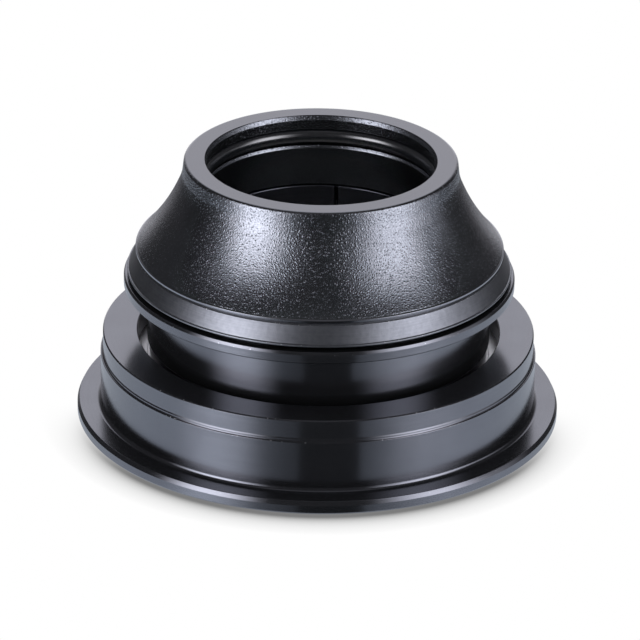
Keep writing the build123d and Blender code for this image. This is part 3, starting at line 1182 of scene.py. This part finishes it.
@dataclass
class Studio:
    """White table and surround, three soft boxes towards the camera and the dark gap between them."""

    boxes: tuple[SoftBox, ...] = (
        SoftBox(bearing=-51.0, half_width=16.0, soft=26.0, high=31.5, high_soft=13.0, level=7.2),
        SoftBox(bearing=57.0, half_width=17.0, soft=32.0, high=39.0, high_soft=15.0, level=5.4),
        SoftBox(bearing=84.0, half_width=14.0, soft=40.0, high=13.0, high_soft=14.0, level=1.9),
    )
    room_level: float = 0.08
    ceiling_level: float = 0.32
    ceiling: Span = (58.0, 80.0)
    wall_level: float = 1.65
    wall: Span = (145.0, 172.0)
    wall_height: Span = (-12.0, 60.0)
    wall_soft: float = 16.0
    table_level: float = 1.35
    table_near: float = 0.22
    table_rise: Span = (6.0, 75.0)
    table_far: float = 0.4
    table_fall: Span = (95.0, 175.0)
    table_glow: float = 0.7
    glow: Span = (-67.0, -37.0)
    glow_soft: float = 22.0
    table_edge: float = -20.3
    edge_soft: float = 2.0
    gap: Span = (-9.2, 22.8)
    gap_soft: float = 0.8
    gap_level: float = 0.045
    table_tint: Colour = (0.92, 1.0, 1.14)
    room_tint: Colour = (0.99, 0.98, 1.06)
    fill_level: float = 1.06
    floor_reach: float = 3.0
    floor_spot: float = 0.0198
    floor_drop: float = 0.00002
    floor_sides: int = 96
    contact_reach: float = 0.005
    contact_samples: int = 32
    contact_level: float = 0.2
    contact_power: float = 1.3
    contact_from: Span = (-2.0, 22.0)
    lens: float = 281.25
    target_z: float = 17.3
    distance: float = 640.68
    elevation: float = 24.196
    aim: Span = (318.4, 287.3)
    roll: float = 0.92
    clip: Span = (0.01, 20.0)

    def metal_light(self, g: Graph) -> tuple[Wire, Wire]:
        """What metal sees in each direction.

        Compass bearing is atan2(x, -y), 0 towards the camera; height is asin(z), both in degrees.

        Args:
            g: The world's nodes.

        Returns:
            Brightness, and the share of the table in it.
        """
        x, y, z = g.split(g.node("ShaderNodeTexCoord", {}, {}).outputs["Generated"])
        bearing = x.math("ARCTAN2", x, y * -1.0) * math.degrees(1)
        height = z.math("ARCSINE", z) * math.degrees(1)
        aside = bearing.math("ABSOLUTE", bearing)
        room = self.room_level
        wall = aside.step(*self.wall) * height.window(*self.wall_height, self.wall_soft)
        light = wall * (self.wall_level - room) + room
        for box in self.boxes:
            light = light + box.seen(bearing, height) * (box.level - room)
        light = light + height.step(*self.ceiling) * (self.ceiling_level - room)
        table = aside.step(*self.table_rise) * (self.table_level - self.table_near) + self.table_near
        table = table + bearing.window(*self.glow, self.glow_soft) * self.table_glow
        table = table * (1 - aside.step(*self.table_fall) * (1 - self.table_far))
        ahead = bearing.window(*self.gap, self.gap_soft)
        table = table * (1 - ahead) + ahead * self.gap_level
        below = 1 - height.step(self.table_edge - self.edge_soft, self.table_edge + self.edge_soft)
        return light * (1 - below) + table * below, below

    def world(self) -> None:
        """Surround: white to the camera, plain light for matt surfaces, and the studio for metal."""
        world = bpy.data.worlds.new("studio")
        world.use_nodes = True
        bpy.context.scene.world = world
        g = Graph(world.node_tree)
        light, table = self.metal_light(g)
        ray = g.node("ShaderNodeLightPath", {}, {})
        names = ("Is Camera Ray", "Is Glossy Ray", "Is Transmission Ray")
        camera, glossy, through = (Wire(g, ray.outputs[name]) for name in names)
        mirrored = glossy.math("MAXIMUM", glossy, through)
        plain = camera + (1 - camera) * self.fill_level
        seen = g.blend(table, self.room_tint, self.table_tint)
        tint = g.blend(mirrored, WHITE, seen)
        strength = mirrored * light + (1 - mirrored) * plain
        background = g.node("ShaderNodeBackground", {}, {"Color": tint, "Strength": strength})
        g.node("ShaderNodeOutputWorld", {}, {"Surface": background.outputs[0]})

    def table_white(self) -> bpy.types.Material:
        """Matt white with a painted contact shadow in its colour where something stands close above it, on
        the side towards the camera; camera rays see that colour as unlit emission.

        Open sky reads 0.5 beside a wall, so the shade is full from there down.
        """
        material = bpy.data.materials.new("table_white")
        material.use_nodes = True
        g = Graph(material.node_tree)
        settings = {"samples": self.contact_samples}
        open_sky = g.node("ShaderNodeAmbientOcclusion", settings, {"Distance": self.contact_reach})
        sky = Wire(g, open_sky.outputs["AO"]) * 2.0 - 1.0
        ahead = g.split(g.node("ShaderNodeTexCoord", {}, {}).outputs["Object"])[1] * -1 / MM
        cast = 1 - sky.math("MAXIMUM", sky, 0.0) ** self.contact_power
        # Painted shadow: the colour darkens near the object, only on the side towards the camera.
        shade = 1 - cast * (1 - self.contact_level) * ahead.step(*self.contact_from)
        matt = g.node("ShaderNodeBsdfDiffuse", {}, {"Color": shade}).outputs[0]
        seen = g.node("ShaderNodeEmission", {}, {"Color": shade}).outputs[0]
        camera = g.node("ShaderNodeLightPath", {}, {}).outputs["Is Camera Ray"]
        both = g.node("ShaderNodeMixShader", {}, {0: camera, 1: matt, 2: seen})
        g.node("ShaderNodeOutputMaterial", {}, {"Surface": both.outputs[0]})
        return material

    def floor(self) -> None:
        """Table top in two rings: metal mirrors the inner one, and the studio's table elsewhere."""
        white = self.table_white()
        count = self.floor_sides
        spot, reach = (np.array([size, size, 1.0]) for size in (self.floor_spot, self.floor_reach))
        angle = np.linspace(0, 2 * math.pi, count, endpoint=False)
        circle = np.column_stack([np.cos(angle), np.sin(angle), np.full_like(angle, -self.floor_drop)])
        here = np.arange(count)
        ahead = (here + 1) % count
        rim = np.column_stack([here, here + count, ahead + count, ahead]).tolist()
        outer = mesh_object("table_top", np.concatenate([circle * spot, circle * reach]), rim)
        inner = mesh_object("table_spot", circle * spot, [here.tolist()])
        outer.visible_glossy = False
        for part in (outer, inner):
            part.data.materials.append(white)

    def camera(self) -> None:
        """Camera at the fitted place, aimed so that the target falls on its pixel, and rolled."""
        data = bpy.data.cameras.new("camera")
        data.lens = self.lens
        data.sensor_width = SENSOR_WIDTH
        data.clip_start, data.clip_end = self.clip
        camera = bpy.data.objects.new("camera", data)
        bpy.context.scene.collection.objects.link(camera)
        bpy.context.scene.camera = camera
        tilt = math.radians(self.elevation)
        back = Vector((0.0, -math.cos(tilt), math.sin(tilt)))
        place_at = Vector((0.0, 0.0, self.target_z * MM)) + back * self.distance * MM
        focal = self.lens / SENSOR_WIDTH * PICTURE_SIDE
        middle = PICTURE_SIDE / 2
        yaw = math.atan((self.aim[0] - middle) / focal)
        dip = math.atan((middle - self.aim[1]) / focal)
        turn_aside = Matrix.Rotation(yaw, 4, "Z")
        turn_up = Matrix.Rotation(math.pi / 2 - tilt - dip, 4, "X")
        lean = Matrix.Rotation(math.radians(self.roll), 4, "Z")
        camera.matrix_world = Matrix.Translation(place_at) @ turn_aside @ turn_up @ lean

    def build(self) -> None:
        """Sets up the surround, the table and the camera."""
        bpy.context.scene.view_settings.view_transform = "Standard"
        self.world()
        self.floor()
        self.camera()


def main() -> None:
    """Builds the sub-assemblies in order."""
    logging.basicConfig(level=logging.INFO, format="%(name)s %(message)s")
    paints = Paints()
    UpperTurningSet().build(paints)
    UpperCup().build(paints)
    LowerCup().build(paints)
    CrownSet().build(paints)
    BearingParts().dress(paints)
    Studio().build()


if __name__ == "__main__":
    main()
